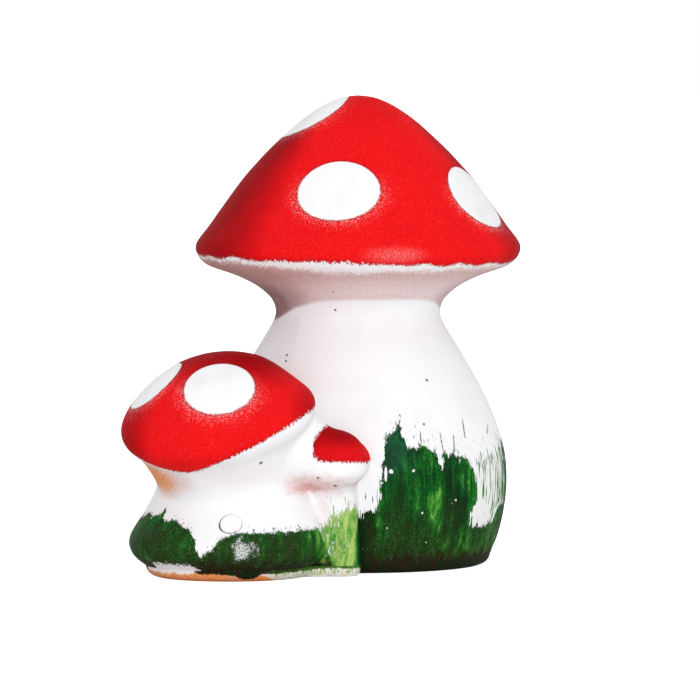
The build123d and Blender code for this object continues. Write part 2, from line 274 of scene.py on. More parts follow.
FRONT_GRASS = PLAIN_GRASS | {
    "tops": [
        (0, 15), (0.2, 18), (0.27, 22.2), (0.287, 23.2), (0.3206, 22.4), (0.332, 22.8), (0.340, 26.4),
        (0.347, 22), (0.365, 20.8), (0.379, 21.7), (0.403, 20.3), (0.427, 18.2), (0.443, 15.2),
        (0.4505, 11), (0.4538, 8.8), (0.466, 11.6), (0.482, 14.4), (0.496, 16.8), (0.51, 17.6), (0.6, 18),
        (0.66, 18.4), (0.72, 19), (0.8, 18), (1, 15),
    ],
    "feet": [(0, 0), (0.325, 0), (0.35, 6.2), (0.43, 6.0), (0.446, 4.6), (0.453, 0), (1, 0)],
    "dry": [(0, 15), (0.3, 6), (0.45, 0), (0.62, 0), (0.68, 12), (0.75, 25), (1, 15)],
    "sun": [(0, 6), (0.25, 2), (0.4, 0), (0.5, 1), (0.645, 0), (0.67, 20), (0.72, 30), (0.8, 20), (1, 6)],
    "bristle": 0.4,
    "bright": [((-76, -71, 8), EVEN, 6, 0.16), ((-11.3, -59.5, 8), (1, 0.4, 0.45), 4.5, 0.08)],
    "glints": [((-40.5, -88.3, 12.6), EVEN, 7.5, 1.0)],
    "dim": [((-46, -87, 6), (0.12, 0.3, 0.6), 2.6, 0.24), ((-16.5, -66, 9), (1, 0.4, 0.4), 3, 0.25)],
}
BUD_GRASS = PLAIN_GRASS | {
    "tops": [
        (0, 22), (0.3, 13), (0.39, 15), (0.425, 21), (0.50, 23.5), (0.58, 24.5), (0.65, 23),
        (0.75, 20), (1, 22),
    ],
    "dry": [(0, 40), (0.42, 58), (0.52, 44), (0.62, 26), (1, 40)],
    "dry_from": [(0, 3), (1, 3)],
    "sun": [(0, 20), (0.40, 38), (0.55, 43), (0.62, 32), (0.665, 2), (0.75, 0), (1, 20)],
    "deep": 0.0,
    "dim": [((2.5, -53, 12), (1, 0.5, 0.22), 5, 0.4), ((-13.6, -60, 17), (1, 0.4, 0.4), 3.2, 0.2)],
    "hairs": [(-8.6, 22, -8.8, 26.5), (-3.2, 23, -3.6, 28), (-1.6, 23, -1.2, 27)],
}


def a_length(name, description, default, **limits):
    """A length that a user may change."""
    return FloatProperty(name=name, description=description, default=default, unit="LENGTH", **limits)


def a_count(name, description, default, least, most):
    """A number of sides or passes that a user may change."""
    return IntProperty(name=name, description=description, default=default, min=least, max=most)


def a_point(name, description, default):
    """A place that a user may change."""
    return FloatVectorProperty(
        name=name, description=description, subtype="XYZ", unit="LENGTH", size=3, default=default,
    )


def a_colour(name, description, default):
    """A paint or clay colour that a user may change."""
    return FloatVectorProperty(
        name=name, description=description, subtype="COLOR", size=3, min=0, max=1, default=default,
    )


class ToadstoolSizes(bpy.types.PropertyGroup):
    """Sizes of the clay work"""

    turns: a_count("Turned sides", "Sides of a turned form", 160, 48, 256)
    profile_step: a_length("Profile step", "Longest step along a profile", 0.0015, min=0.0005, max=0.01)
    skin_grain: a_length("Skin grain", "Grain of the unsponged skin", 0.0006, min=0.0004, max=0.003)
    sponge_rounds: a_count("Sponging", "Passes over the whole skin", 14, 0, 60)
    slip_rounds: a_count("Slip sponging", "Passes along the luted joints", 90, 0, 300)
    slip_reach: a_length("Slip reach", "How far the slip spreads from a joint", 0.007)
    plug_radius: a_length("Plug radius", "Radius of the clay plug", 0.0038)
    plug_gap: a_length("Plug gap", "Open ring round the plug", 0.0004)


class ToadstoolColours(bpy.types.PropertyGroup):
    """Paints and clay"""

    white: a_colour("White", "Matte white paint", (0.87, 0.873, 0.888))
    # Shaded white is the uneven coat, and also painted shade left of the casting seam on the tall stem
    shade: a_colour("Shaded white", "White where the coat is uneven", (0.74, 0.73, 0.77))
    # Also painted shade: laid into the creases and towards the left under the tall cap
    thin_coat_and_shade: a_colour("Thin coat", "White brushed thinly over clay", (0.76, 0.46, 0.43))
    crevice: a_colour("Crevice", "Clay specks in the creases", (0.3, 0.12, 0.09))
    pinhole: a_colour("Pinhole", "Dark bottom of a pinhole", (0.05, 0.04, 0.04))
    # Painted shade under the tall cap, darkest towards its left and just above the neck line
    mauve_shade: a_colour("Mauve", "Thin coat over dark clay under the tall cap", (0.2, 0.095, 0.1))
    red: a_colour("Red", "Sprayed red paint", (0.8, 0.006, 0.009))
    # Partly thick spray, partly painted shade on the caps' flanks and tops
    deep_red_and_shade: a_colour("Deep red", "Red where the spray is thick", (0.28, 0.003, 0.006))
    red_mist: a_colour("Red mist", "Dry grains of the red spray", (0.88, 0.045, 0.036))
    black_green: a_colour("Black green", "Wet ends of the grass strokes", (0.006, 0.02, 0.005))
    dark_green: a_colour("Dark green", "Deep grass strokes", (0.004, 0.05, 0.01))
    green: a_colour("Green", "Grass strokes", (0.008, 0.13, 0.016))
    blue_green: a_colour("Blue green", "Thin cool strokes at the grass tops", (0.016, 0.085, 0.045))
    light_green: a_colour("Light green", "Thin grass strokes", (0.09, 0.33, 0.04))
    straw: a_colour("Straw", "Yellow ends of the thinnest strokes", (0.46, 0.6, 0.18))
    olive: a_colour("Olive", "Grass strokes over the dark foot", (0.022, 0.04, 0.006))
    foot_brown: a_colour("Foot brown", "Dark paint along the foot", (0.02, 0.012, 0.006))
    clay: a_colour("Clay", "Bare fired clay", (0.88, 0.34, 0.12))
    burnt_clay: a_colour("Burnt clay", "Darker grains of the clay", (0.5, 0.14, 0.05))


class ToadstoolStage(bpy.types.PropertyGroup):
    """Camera and light"""

    aim: a_point("Aim", "Point that the camera looks at", (-0.0029, 0, 0.0775))
    distance: a_length("Distance", "Camera to aim", 3.0)
    elevation: FloatProperty(
        name="Elevation", description="Camera above the horizon", default=math.radians(3.4), subtype="ANGLE",
    )
    lens: FloatProperty(name="Lens", description="Focal length in millimetres", default=425, min=50, max=800)
    key_power: FloatProperty(
        name="Key light", description="Power of the soft front light", default=22.5, unit="POWER",
    )
    key_place: a_point("Key place", "Place of the soft front light", (0.42, -2.46, 0.42))
    key_size: a_length("Key size", "Width of the soft front light", 0.8)
    sky: FloatProperty(name="Fill light", description="Strength of the light from all round", default=0.87)
    floor_tone: a_colour("Floor", "Plain pale floor", (0.82, 0.82, 0.82))
    floor_glow: a_colour("Floor glow", "Brightness of the floor as the camera sees it", (0.8, 0.8, 0.8))


def let_go():
    """Back to object mode with nothing selected."""
    if bpy.context.mode != "OBJECT":
        bpy.ops.object.mode_set(mode="OBJECT")
    bpy.ops.object.select_all(action="DESELECT")


def take(obj):
    """Selects one object and makes it the active one."""
    let_go()
    obj.select_set(True)
    bpy.context.view_layer.objects.active = obj
    return obj


def fresh(name, add, **settings):
    """A new object, made by one of the operators that add a mesh."""
    let_go()
    add(**settings)
    obj = bpy.context.object
    obj.name = name
    return obj


def settle(obj, place=None):
    """Sets an object in its place, and puts that place into its mesh."""
    if place is not None:
        obj.matrix_world = place
    take(obj)
    bpy.ops.object.transform_apply(location=True, rotation=True, scale=True)
    return obj


def applied(obj, kind, **settings):
    """Adds a modifier, sets it and applies it."""
    take(obj)
    bpy.ops.object.modifier_add(type=kind)
    modifier = obj.modifiers[-1]
    for key, value in settings.items():
        setattr(modifier, key, value)
    bpy.ops.object.modifier_apply(modifier=modifier.name)
    return obj


def copied(obj, name):
    """A copy with its own mesh."""
    take(obj)
    bpy.ops.object.duplicate(linked=False)
    twin = bpy.context.object
    twin.name = name
    return twin


def scrap(*objs):
    """Removes helper objects and their meshes."""
    for obj in objs:
        mesh = obj.data
        bpy.data.objects.remove(obj)
        if mesh.users == 0:
            bpy.data.meshes.remove(mesh)


def joined(objs):
    """One object made of several."""
    take(objs[0])
    for obj in objs[1:]:
        obj.select_set(True)
    bpy.ops.object.join()
    return bpy.context.object


def soft(share):
    """A share from 0 to 1, eased at both ends."""
    return share * share * (3 - 2 * share)


def eased(points, step):
    """The stations of a profile joined by a smooth line with short steps, none of them below 0."""
    line = [points[0]]
    for i in range(len(points) - 1):
        a, b = points[i], points[i + 1]
        before = points[max(i - 1, 0)]
        after = points[min(i + 2, len(points) - 1)]
        count = max(1, math.ceil(math.dist(a, b) / step))
        for k in range(1, count + 1):
            t = k / count
            spot = []
            for p, q, r, s in zip(before, a, b, after):
                bend = (2 * q) + (r - p) * t + (2 * p - 5 * q + 4 * r - s) * t * t
                bend += (3 * q - p - 3 * r + s) * t ** 3
                spot.append(max(bend / 2, 0))
            line.append(tuple(spot))
    return line


def turned(name, stations, sizes, closed_foot=(), closed_top=()):
    """Spins a half section, given in millimetres, round the Z axis."""
    line = list(closed_foot) + eased(stations, sizes.profile_step / MM) + list(closed_top)
    obj = fresh(name, bpy.ops.mesh.primitive_plane_add, size=MM)
    bpy.ops.object.mode_set(mode="EDIT")
    bpy.ops.mesh.merge(type="CENTER")
    bpy.ops.transform.translate(value=(line[0][0] * MM, 0, line[0][1] * MM))
    for a, b in zip(line, line[1:]):
        way = ((b[0] - a[0]) * MM, 0, (b[1] - a[1]) * MM)
        bpy.ops.mesh.extrude_vertices_move(TRANSFORM_OT_translate={"value": way})
    bpy.ops.mesh.select_all(action="SELECT")
    bpy.ops.mesh.spin(steps=sizes.turns, angle=math.tau, center=(0, 0, 0), axis=(0, 0, 1))
    bpy.ops.mesh.select_all(action="SELECT")
    bpy.ops.mesh.remove_doubles(threshold=1e-6)
    bpy.ops.mesh.normals_make_consistent(inside=False)
    bpy.ops.object.mode_set(mode="OBJECT")
    return obj


def drawn_up(name, start, rings, sides=96):
    """Extrudes a disc upwards through rings of (centre, radius, lean about Y), all in millimetres."""
    centre, radius, lean = start
    disc = {"vertices": sides, "radius": radius * MM, "fill_type": "NGON"}
    obj = fresh(name, bpy.ops.mesh.primitive_circle_add, **disc)
    settle(obj, Matrix.Translation(Vector(centre) * MM))
    bpy.ops.object.mode_set(mode="EDIT")
    bpy.ops.mesh.select_all(action="SELECT")
    for next_centre, next_radius, next_lean in rings:
        way = [(b - a) * MM for a, b in zip(centre, next_centre)]
        pivot = [c * MM for c in next_centre]
        share = next_radius / radius
        bpy.ops.mesh.extrude_region_move(TRANSFORM_OT_translate={"value": way})
        bpy.ops.transform.resize(value=(share, share, share), center_override=pivot)
        if next_lean != lean:
            bpy.ops.transform.rotate(value=lean - next_lean, orient_axis="Y", center_override=pivot)
        centre, radius, lean = next_centre, next_radius, next_lean
    bpy.ops.mesh.select_all(action="SELECT")
    bpy.ops.mesh.normals_make_consistent(inside=False)
    bpy.ops.object.mode_set(mode="OBJECT")
    return obj


def front_foot():
    """Frame under the front toadstool: its X axis points where the cap leans."""
    out = Matrix.Rotation(FRONT_BEARING, 4, "Z") @ Matrix.Translation((FRONT_REACH * MM, 0, 0))
    return out @ Matrix.Rotation(FRONT_LEAN_TURN, 4, "Z")


def front_place():
    """Frame of the front neck joint: its Z axis is the front cap's axis."""
    return front_foot() @ Matrix.Translation((0, 0, FRONT_NECK * MM)) @ Matrix.Rotation(FRONT_LEAN, 4, "Y")


def bud_place():
    """Frame of the bud's neck joint."""
    turn = Matrix.Rotation(BUD_LEAN_BEARING, 4, "Z") @ Matrix.Rotation(BUD_LEAN, 4, "Y")
    return Matrix.Translation(Vector(BUD_NECK) * MM) @ turn


def plug_place():
    """Frame of the plug: its Z axis points out of the wall."""
    return Matrix.Translation(Vector(PLUG) * MM) @ Matrix.Rotation(math.pi / 2 - PLUG_PITCH, 4, "X")


def rod(name, place, radius, length, sides=64):
    """Round cutter centred on a frame."""
    obj = fresh(name, bpy.ops.mesh.primitive_cylinder_add, vertices=sides, radius=radius, depth=length)
    return settle(obj, place)


def half_space(name, point, normal, size=0.4):
    """A block whose one face passes through point, on the side that normal points to."""
    obj = fresh(name, bpy.ops.mesh.primitive_cube_add, size=size)
    way = Vector(normal).normalized()
    turn = way.to_track_quat("Z", "Y").to_matrix().to_4x4()
    return settle(obj, Matrix.Translation(Vector(point) + way * size / 2) @ turn)


def cut(obj, cutter, keep_inside=False):
    """Cuts obj with a closed cutter."""
    operation = "INTERSECT" if keep_inside else "DIFFERENCE"
    return applied(obj, "BOOLEAN", operation=operation, object=cutter, solver="MANIFOLD")


def trimmed(obj):
    """Clears doubled points, slivers, points where only two edges meet and loose bits after the cuts."""
    take(obj)
    bpy.ops.object.mode_set(mode="EDIT")
    bpy.ops.mesh.select_all(action="SELECT")
    bpy.ops.mesh.remove_doubles(threshold=SLIVER * MM)
    bpy.ops.mesh.dissolve_degenerate(threshold=SLIVER * MM)
    for _ in range(TRIM_ROUNDS):
        bpy.ops.mesh.select_all(action="DESELECT")
        bpy.ops.object.mode_set(mode="OBJECT")
        ends = collections.Counter(index for edge in obj.data.edges for index in edge.vertices)
        for vertex in obj.data.vertices:
            vertex.select = ends[vertex.index] == 2
        bpy.ops.object.mode_set(mode="EDIT")
        bpy.ops.mesh.dissolve_verts()
    bpy.ops.mesh.select_all(action="SELECT")
    bpy.ops.mesh.delete_loose(use_verts=True, use_edges=True, use_faces=False)
    bpy.ops.object.mode_set(mode="OBJECT")
    return obj


def smooth(obj, degrees=35):
    """Smooth shading, with the cut edges kept crisp."""
    take(obj)
    bpy.ops.object.shade_smooth_by_angle(angle=math.radians(degrees))
    return obj


def finished(obj, node, paint):
    """Names a piece, paints it and sets it in the frame in place of its node."""
    if len(obj.data.polygons) < FEWEST_FACES:
        raise RuntimeError(f"{node} came out nearly empty")
    obj.name = node + "_painted"
    obj.data.name = obj.name
    obj.data.materials.clear()
    obj.data.materials.append(paint)
    for face in obj.data.polygons:
        face.material_index = 0
    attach(obj, "root")
    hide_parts(node)
    return obj


class Dab:
    """A value in a paint's node tree; arithmetic on it adds Math nodes."""

    def __init__(self, paint, socket):
        self.paint = paint
        self.socket = socket

    def math(self, operation, other=0.0, flipped=False):
        pair = (other, self) if flipped else (self, other)
        return self.paint.node("ShaderNodeMath", {"operation": operation}, {0: pair[0], 1: pair[1]})

    def __add__(self, other):
        return self.math("ADD", other)

    __radd__ = __add__

    def __sub__(self, other):
        return self.math("SUBTRACT", other)

    def __rsub__(self, other):
        return self.math("SUBTRACT", other, True)

    def __mul__(self, other):
        return self.math("MULTIPLY", other)

    __rmul__ = __mul__

    def __truediv__(self, other):
        return self.math("DIVIDE", other)

    def __rtruediv__(self, other):
        return self.math("DIVIDE", other, True)

    def least(self, other):
        return self.math("MINIMUM", other)

    def most(self, other):
        return self.math("MAXIMUM", other)

    def fade(self, start, end):
        """0 at start and 1 at end, eased between them."""
        sockets = {0: self, 1: start, 2: end, 3: 0.0, 4: 1.0}
        return self.paint.node("ShaderNodeMapRange", {"interpolation_type": "SMOOTHSTEP"}, sockets)


class Paint:
    """A material whose nodes are added one by one."""

    def __init__(self, name):
        self.material = bpy.data.materials.new(name)
        self.material.use_nodes = True
        self.tree = self.material.node_tree
        self.shader = self.tree.nodes["Principled BSDF"]
        self.where = self.node(
            "ShaderNodeVectorMath", {"operation": "SCALE"},
            {0: self.node("ShaderNodeTexCoord", output="Object"), "Scale": 1 / MM},
        )
        parts = [self.node("ShaderNodeSeparateXYZ", {}, {0: self.where}, output=k) for k in range(3)]
        self.x, self.y, self.z = parts

    def node(self, kind, settings=None, sockets=None, output=0):
        """Adds a node, sets it, fills its sockets and gives back one of its outputs."""
        node = self.tree.nodes.new(kind)
        for key, value in (settings or {}).items():
            if key == "stops":
                ramp = node.color_ramp
                while len(ramp.elements) > 1:
                    ramp.elements.remove(ramp.elements[-1])
                ramp.elements[0].position, ramp.elements[0].color = value[0][0], self.full(value[0][1])
                for place, colour in value[1:]:
                    ramp.elements.new(place).color = self.full(colour)
            elif key == "spread":
                node.color_ramp.interpolation = value
            else:
                setattr(node, key, value)
        for key, value in (sockets or {}).items():
            self.feed(node.inputs[key], value)
        return Dab(self, node.outputs[output])

    @staticmethod
    def full(colour):
        """A grey or a colour as four numbers."""
        return (colour,) * 3 + (1,) if isinstance(colour, (int, float)) else tuple(colour)[:3] + (1,)

    def feed(self, socket, value):
        """Links or sets one socket."""
        if isinstance(value, Dab):
            self.tree.links.new(value.socket, socket)
        elif socket.type == "RGBA":
            socket.default_value = self.full(value)
        else:
            socket.default_value = value

    def mix(self, a, b, share):
        """Colour a going over to colour b."""
        return self.node("ShaderNodeMix", {"data_type": "RGBA"}, {0: share, 6: a, 7: b}, output=2)

    def placed(self, stretch, shift):
        """Places in millimetres with their axes stretched, then shifted."""
        sockets = {0: self.where, 1: stretch, 2: shift}
        return self.node("ShaderNodeVectorMath", {"operation": "MULTIPLY_ADD"}, sockets)

    def noise(self, stretch, detail=2.0, roughness=0.5, shift=0.0):
        """Noise over the surface; stretch gives its grain per millimetre along X, Y and Z."""
        way = self.placed(stretch, (shift,) * 3)
        sockets = {"Vector": way, "Scale": 1.0, "Detail": detail, "Roughness": roughness}
        return self.node("ShaderNodeTexNoise", {}, sockets)

    def away(self, spot, stretch=EVEN):
        """Distance from a spot in millimetres, with the axes stretched."""
        off = self.placed(stretch, [-a * b for a, b in zip(spot, stretch)])
        return self.node("ShaderNodeVectorMath", {"operation": "LENGTH"}, {0: off}, output="Value")

    def bearing(self, centre=(0, 0)):
        """Bearing round an upright axis: 0 at the front, 0.5 and -0.5 at the back."""
        return (self.x - centre[0]).math("ARCTAN2", centre[1] - self.y) / math.tau

    def levels(self, at, stops, spread="EASE"):
        """Reads a height in millimetres from a list of (place, height)."""
        greys = [(place, height / 100) for place, height in stops]
        return self.node("ShaderNodeValToRGB", {"stops": greys, "spread": spread}, {0: at}) * 100

    def finish(self, colour, roughness, relief, depth, gloss):
        """Joins the colour, roughness and relief to the shader."""
        self.shader.inputs["Specular IOR Level"].default_value = gloss
        self.feed(self.shader.inputs["Base Color"], colour)
        self.feed(self.shader.inputs["Roughness"], roughness)
        bump = self.node("ShaderNodeBump", {}, {"Strength": 1.0, "Distance": depth, "Height": relief})
        self.feed(self.shader.inputs["Normal"], bump)
        return self.material


def strongest(parts):
    """The largest of some values."""
    return functools.reduce(Dab.most, parts)


def patches(paint, marks, wobble=0.0):
    """Strength of the nearest of some patches, fading out towards their reach."""
    parts = []
    for place, stretch, reach, strength in marks:
        parts.append((paint.away(place, stretch) + wobble).fade(reach, reach * 0.2) * strength)
    return strongest(parts) if parts else paint.z * 0.0


def dots(paint, marks, wobble=0.0):
    """Small dots with crisp edges."""
    return strongest([(paint.away((x, y, z)) + wobble).fade(size, size * 0.55) for x, y, z, size in marks])


def stray_hairs(paint, hairs):
    """Single thin brush hairs on the front, each from (x, z) up to (x, z)."""
    parts = []
    for x, z, tip_x, tip_z in hairs:
        up = (paint.z - z) / (tip_z - z)
        aside = (paint.x - x - up * (tip_x - x)).math("ABSOLUTE")
        parts.append(aside.fade(0.30, 0.10) * up.fade(-0.05, 0.05) * up.fade(1.05, 0.75))
    return strongest(parts) * paint.y.fade(-12, -24)


def white_coat(paint, colours, thin, shaded=0.0):
    """Matte white over clay: soft tone, painted shade where shaded is given, pinholes, and clay that shows
    where the coat is thin or worn off.
    """
    bare = patches(paint, BARE_CLAY)
    tone = paint.noise((0.05, 0.05, 0.05), 2)
    grain = paint.noise((1.6, 1.6, 1.6), 3, 0.6)
    speck = paint.noise((2.6, 2.6, 2.6), 2, 0.6, 5)
    colour = paint.mix(colours.white, colours.shade, (tone.fade(0.42, 0.72) * 0.3).most(shaded))
    colour = paint.mix(colour, colours.thin_coat_and_shade, (thin * (0.72 + (grain - 0.5) * 1.2)).least(1).most(0))
    colour = paint.mix(colour, colours.clay, (bare * (0.8 + (grain - 0.5) * 2)).least(1).most(0))
    worn = (thin * thin).most(bare).least(1)
    colour = paint.mix(colour, colours.crevice, worn * speck.fade(0.53, 0.62) * 0.8)
    cell = {"Vector": paint.where, "Scale": 1 / PINHOLE_CELL}
    holes = paint.node("ShaderNodeTexVoronoi", {}, cell).fade(0.026, 0.017)
    draw = paint.node("ShaderNodeTexVoronoi", {}, cell, output="Color")
    chosen = paint.node("ShaderNodeSeparateXYZ", {}, {0: draw})
    pits = (holes * chosen.fade(0.78, 0.80)).most(dots(paint, PINHOLES))
    colour = paint.mix(colour, colours.pinhole, pits * 0.85)
    return colour, grain * 0.25 + tone * 0.6 - pits * 2.5


def brushed_grass(paint, colours, grass, bearing):
    """Grass strokes drawn upwards: their cover and colour, the thin wash between them, and their ridges."""
    hair = paint.noise((1.5, 1.5, 0.085), 2.5, 0.62)
    stroke = paint.noise((0.36, 0.36, 0.03), 2, 0.5, 11)
    patch = paint.noise((0.10, 0.10, 0.07), 2, 0.5, 23)
    mottle = paint.noise((0.6, 0.6, 0.3), 2, 0.6, 57)
    grit = paint.noise((2.3, 2.3, 1.7), 2, 0.7, 41)
    speckle = paint.noise((3.4, 3.4, 2.6), 1, 0.5, 73)
    wobble = (paint.noise((0.22, 0.22, 0.12), 2, 0.6, 31) - 0.5) * 16
    bristle, deep = grass["bristle"], grass["deep"]
    top = paint.levels(bearing + (mottle - 0.5) * 0.011 + (grit - 0.5) * 0.006, grass["tops"], "LINEAR")
    dryness = paint.levels(bearing, grass["dry"]) / 100
    dryness = dryness * paint.z.math("SUBTRACT", paint.levels(bearing, grass["dry_from"])).fade(0, 6)
    thinned = dryness
    dryness = dryness + patches(paint, grass["gaps"], wobble)
    dryness = dryness + patches(paint, grass["slits"], (grit - 0.5) * 0.9)
    edge = top + ((hair - 0.58).most(0) * 48 + (stroke - 0.5) * 8) * bristle
    depth = edge - paint.z + (grit - 0.5) * 2.2
    ragged = depth.fade(4, 0) * 0.30 + dryness
    gaps = (ragged * 0.34 + 0.27 - (hair * 0.75 + stroke * 0.25)).fade(0, 0.05)
    wisps = hair.fade(0.665, 0.69) * (top + 9 * bristle - paint.z).fade(0, 3) * bristle
    foot = paint.z - paint.levels(bearing, grass["feet"]) + (hair - 0.5) * 5 + (grit - 0.5) * 2
    cover = (depth.fade(-0.25, 0.45) * (1 - gaps)).most(wisps * 0.9) * foot.fade(-0.3, 0.4)
    if grass["hairs"]:
        cover = cover.most(stray_hairs(paint, grass["hairs"]) * grit.fade(0.40, 0.50))
    if grass["flecks"]:
        cover = cover * (1 - dots(paint, grass["flecks"], (mottle - 0.5) * 1.6 + (grit - 0.5)))
    sunlit = paint.levels(bearing, grass["sun"]) / 100 + patches(paint, grass["bright"], wobble * 0.3)
    tone = 0.32 + (stroke - 0.5) * 0.6 + (hair - 0.5) * 0.6 + (patch - 0.5) * 0.5 + (mottle - 0.5) * 0.35
    # Dim patches lower the tone; in the creases beside the bud they are painted shade
    tone = tone + (grit - 0.5) * 0.45 + sunlit - patches(paint, grass["dim"], wobble * 0.1)
    greens = [
        (0.12, colours.black_green), (0.32, colours.dark_green), (0.48, colours.green),
        (0.64, colours.light_green), (0.86, colours.straw),
    ]
    colour = paint.node("ShaderNodeValToRGB", {"stops": greens}, {0: tone})
    cool = patches(paint, grass["cool"], wobble * 0.4) * mottle
    colour = paint.mix(colour, colours.blue_green, cool * 1.6)
    low = (paint.z + (patch - 0.5) * 34).fade(30, 8) * (1 - sunlit * 3).most(0) * deep
    colour = paint.mix(colour, colours.olive, low * 0.6)
    soiled = (paint.z + (stroke - 0.5) * 7).fade(8.5, 4.5) * deep
    colour = paint.mix(colour, colours.foot_brown, soiled * 0.85)
    colour = paint.mix(colour, colours.shade, grit.fade(0.70, 0.76) * 0.12)
    dust = paint.mix(colours.straw, colours.shade, low * 0.5)
    colour = paint.mix(colour, dust, speckle.fade(0.65, 0.73) * (0.10 + low * 0.2))
    glint = patches(paint, grass["glints"], wobble * 0.7)
    sparkle = (glint * 0.36 + grit * 0.5 + speckle * 0.7 - 0.82).fade(0, 0.24) * glint.fade(0, 0.3)
    colour = paint.mix(colour, colours.white, sparkle * 0.85)
    wash = thinned * depth.fade(-2, 5) * 0.09
    return cover, colour, wash, hair * 1.2 + stroke * 0.5 + grit * 0.4


def thin_coat_and_shade(paint):
    """Where the white is thin over the clay, and partly painted shade in the creases: the crease under the
    bud and beside the front neck.
    """
    return patches(paint, THIN_COAT_AND_SHADE, (paint.noise((0.35, 0.35, 0.35), 2, 0.6, 47) - 0.5) * 5)


def neck_line(paint):
    """Height up to which the tall stem's white was brushed, under its cap."""
    return paint.levels(paint.bearing() + 0.5, NECK_LINE, "B_SPLINE")


def under_cap(paint):
    """Shares of thin coat and of painted shade above the neck line, under the tall cap: the shade is darkest
    towards the left and just above the line, and the thin coat's rise towards the left is painted shade too.
    """
    up = paint.z - neck_line(paint)
    above = up.fade(-0.9, 0.9)
    dark = paint.levels(paint.bearing() + 0.5, UNDER_CAP_SHADE) / 100 * (0.6 + paint.z.fade(105, 98) * 0.4)
    thin = 0.62 + paint.z.fade(100, 109) * 0.34 + paint.x.fade(-10, -36) * 0.45
    return above * thin, above * dark.most(up.fade(3.5, 0.5) * 0.1)


def seam_shade(paint):
    """Painted shade: the greyer white on the tall stem's left front, beyond the casting seam."""
    across = SEAM_X + (paint.z - SEAM_Z) * SEAM_RUN - paint.x
    return across.fade(0, 0.8) * paint.y.fade(14, -6) * 0.3


def stem_paint(name, colours, centre, grass, seam=False):
    """White paint with brushed grass at the foot, round an upright axis at centre."""
    paint = Paint(name)
    thin = thin_coat_and_shade(paint)
    # The tall stem takes painted shade under its cap and beyond the casting seam
    if seam:
        under, mauve_shade = under_cap(paint)
        white, relief = white_coat(paint, colours, thin.most(under), seam_shade(paint))
        white = paint.mix(white, colours.mauve_shade, mauve_shade)
    else:
        white, relief = white_coat(paint, colours, thin)
    cover, strokes, wash, ridges = brushed_grass(paint, colours, grass, paint.bearing(centre) + 0.5)
    colour = paint.mix(paint.mix(white, colours.straw, wash), strokes, cover)
    return paint.finish(colour, 0.66 - cover * 0.26, relief + cover * ridges * 0.6, RELIEF, STEM_GLOSS)


def cap_paint(name, colours, red, spots, stretch=EVEN, dust=()):
    """Sprayed red over white, with white spots.

    red gives the height over the red's border, and the shares of thin coat, deep red (mostly painted shade
    on the flanks and tops) and painted shade under the tall cap.
    """
    paint = Paint(name)
    bristle = paint.noise((1.5, 1.5, 0.7), 3, 0.75, 3)
    mist = paint.noise((2.2, 2.2, 2.2), 2, 0.7, 9)
    tone = paint.noise((0.06, 0.06, 0.06), 2, 0.5, 17)
    spray = paint.noise((3.2, 3.2, 3.2), 2, 0.6, 27)
    height, thin, deep, mauve_shade = red(paint)
    sprayed = (height + (bristle - 0.5) * 4.5).fade(-0.35, 0.35)
    white, relief = white_coat(paint, colours, thin)
    white = paint.mix(white, colours.mauve_shade, mauve_shade)
    # deep is mostly painted shade; where it is high, less of the brighter mist shows
    deep = (deep + (tone - 0.5) * 0.5).least(1).most(0)
    paint_red = paint.mix(colours.red, colours.red_mist, mist.fade(0.50, 0.72) * (0.75 - deep * 0.6))
    paint_red = paint.mix(paint_red, colours.deep_red_and_shade, (deep * 0.92).most(mist.fade(0.44, 0.28) * 0.45))
    paint_red = paint.mix(colours.deep_red_and_shade, paint_red, height.fade(-0.2, 1.6) * 0.6 + 0.4)
    dabs, rims = [], []
    for x, y, z, radius in spots:
        off = paint.away((x, y, z), stretch) - radius
        low = (paint.z - z).fade(radius * 0.55, radius * -0.30)
        crisp = (off + (bristle - 0.5) * (0.6 + low * 1.4)).fade(0.3, -0.3)
        grains = (spray - off * 0.018).fade(0.545, 0.62) * low * off.fade(10.0, 0.5) * 0.7
        dabs.append(crisp.most(grains))
        rims.append(off.fade(1.6, 0.2))
    colour = paint.mix(white, paint_red, sprayed)
    if spots:
        colour = paint.mix(colour, colours.deep_red_and_shade, strongest(rims) * sprayed * 0.5)
        # Pale patches over the red: painted sheen, partly pale overspray dust
        dust_and_sheen = patches(paint, dust) * spray.fade(0.42, 0.66) * sprayed
        colour = paint.mix(colour, colours.white, dust_and_sheen * 0.24)
        dab = paint.mix(colours.white, colours.shade, tone.fade(0.5, 0.75) * 0.35)
        colour = paint.mix(colour, dab, strongest(dabs))
    return paint.finish(colour, 0.64 - sprayed * 0.12, relief + mist * sprayed * 0.5, RELIEF, CAP_GLOSS)


def large_red(paint):
    """Red down to just under the tall cap's lip, deeper on its flanks and near its top as painted shade, and
    the thinly coated underside below it with its painted shade.
    """
    sway = (paint.noise((0.09, 0.09, 0.09), 1, 0.5, 8) - 0.5) * 3
    border = LARGE_BORDER - paint.x * LARGE_BORDER_FALL + sway
    band = LARGE_BAND - (paint.x + 4).math("ABSOLUTE") * 0.045
    ragged = (paint.noise((0.9, 0.9, 0.6), 3, 0.75, 3) - 0.5) * 7
    below = (border - band - paint.z + ragged).fade(-0.9, 1.3)
    thin, mauve_shade = under_cap(paint)
    thin, mauve_shade = thin * below, mauve_shade * below
    # Painted shade: deeper red on the flanks as seen from the front, and a little near the top
    reach = (paint.x * paint.x + paint.y * paint.y).math("SQRT") + 1
    side = ((paint.x * 0.978 + paint.y * 0.21) / reach).math("ABSOLUTE")
    deep = (side.fade(0.66, 0.99) * paint.z.fade(169, 156)).most(paint.z.fade(158, 170) * 0.3)
    return paint.z - border, thin, deep, mauve_shade


